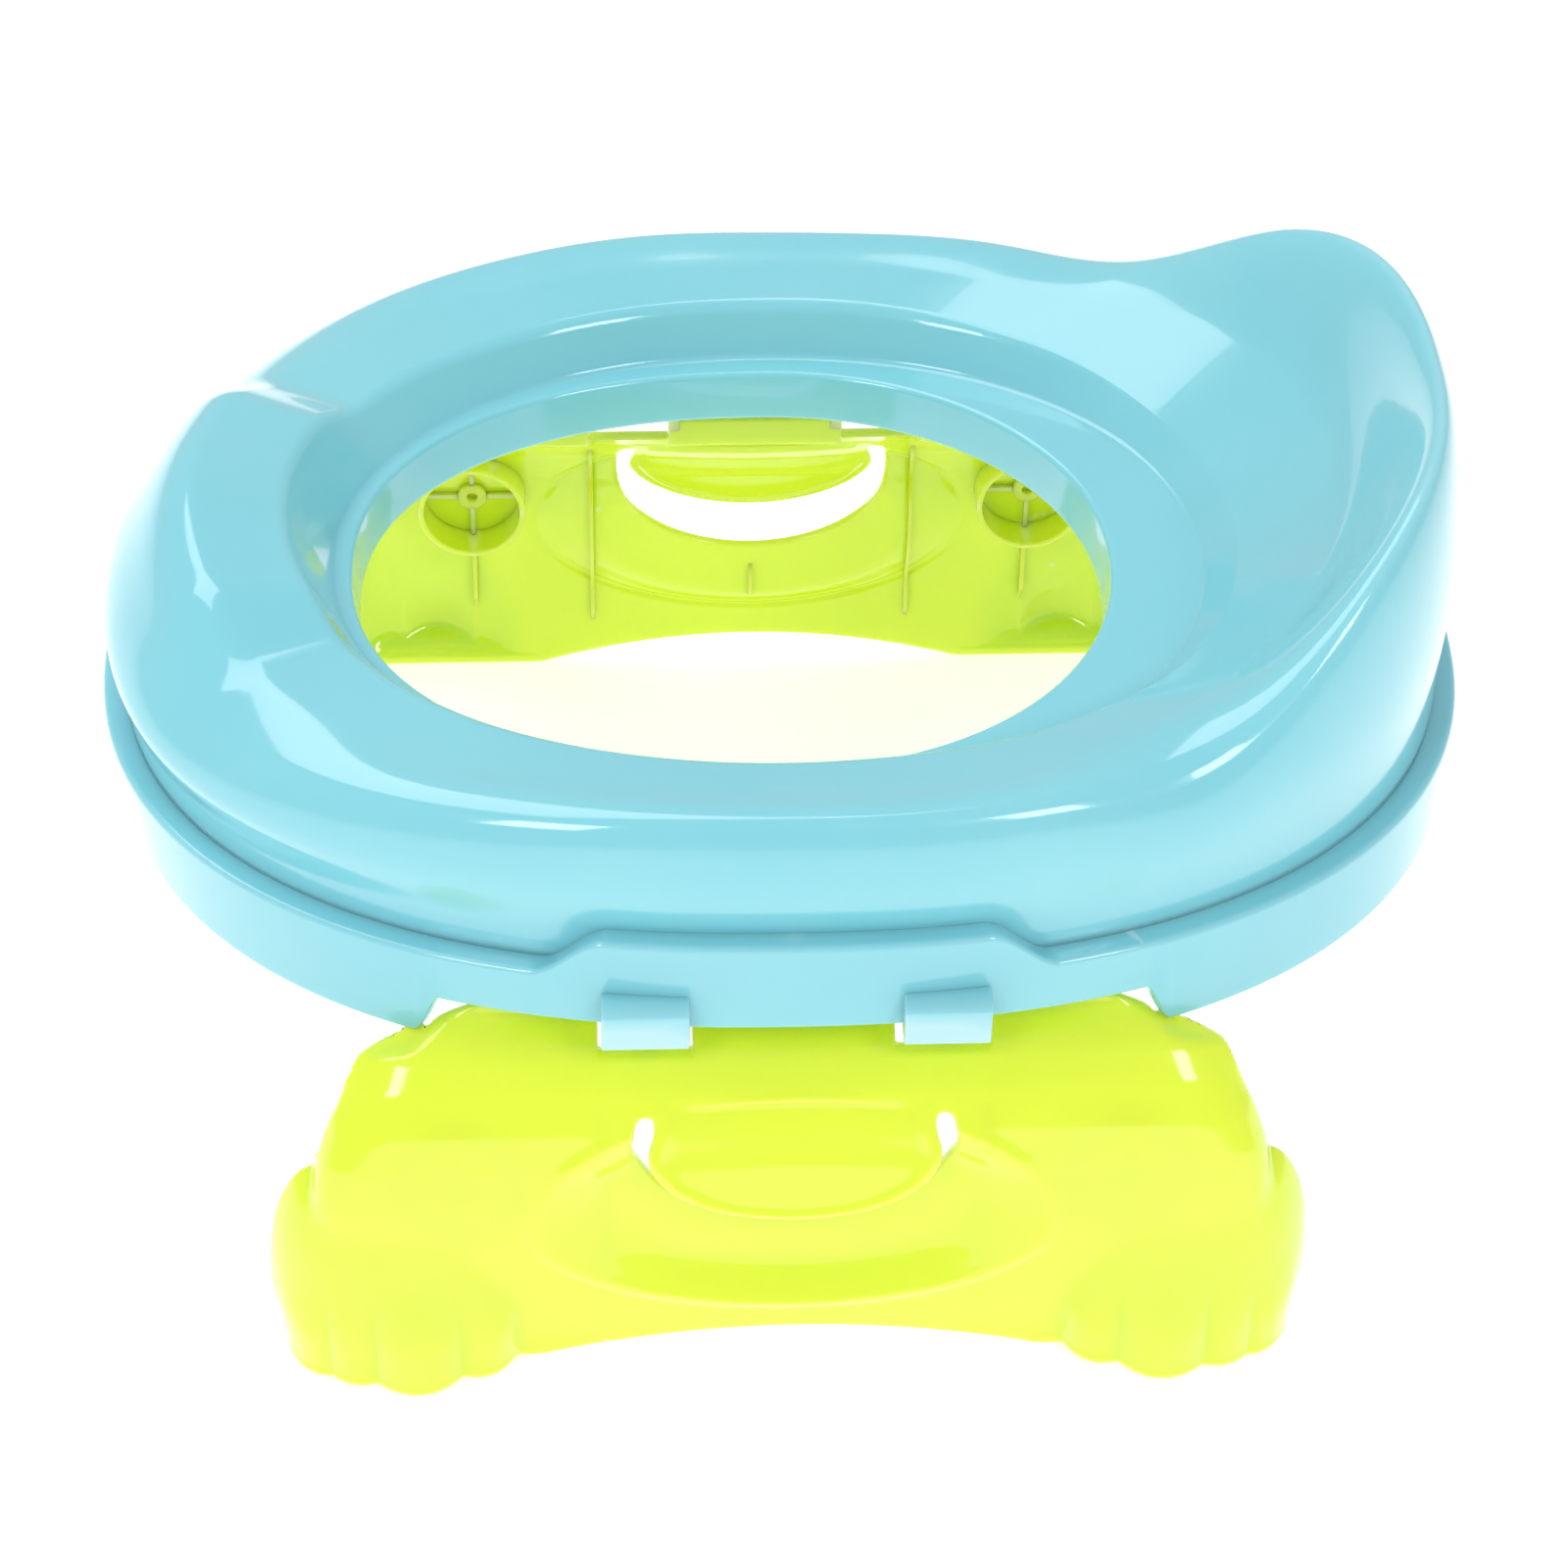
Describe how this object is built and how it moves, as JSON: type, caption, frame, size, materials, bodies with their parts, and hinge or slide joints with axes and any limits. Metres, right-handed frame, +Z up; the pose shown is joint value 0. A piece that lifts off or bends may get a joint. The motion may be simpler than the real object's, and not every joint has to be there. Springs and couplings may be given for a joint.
{
  "type": "folding potty training seat",
  "caption": "Oval child's potty seat with a raised splash guard, on two fold-out leg panels with paw-shaped feet.",
  "frame": {"origin": "on the floor below the hinge line's middle, which is the bottom centre of the box within 2 mm", "axes": "+X towards the splash guard at the front, +Y to the left leg, +Z up"},
  "size_m": [0.3235, 0.2804, 0.189],
  "materials": {
    "seat_plastic": "glossy moulded sky-blue polypropylene",
    "leg_plastic": "glossy moulded lime-yellow polypropylene"
  },
  "bodies": {
    "seat": {"seat_shell": "seat_plastic", "skirt_frame": "seat_plastic"},
    "left_leg": {"left_leg": "leg_plastic"},
    "right_leg": {"right_leg": "leg_plastic"}
  },
  "joints": [
    {"name": "left_leg_hinge", "type": "hinge", "parent": "seat", "child": "left_leg", "pos_m": [0, 0.1135, 0.1004], "axis": [1, 0, 0], "range_deg": [-90, 90]},
    {"name": "right_leg_hinge", "type": "hinge", "parent": "seat", "child": "right_leg", "pos_m": [0, -0.1135, 0.1004], "axis": [-1, 0, 0], "range_deg": [-90, 90]}
  ]
}
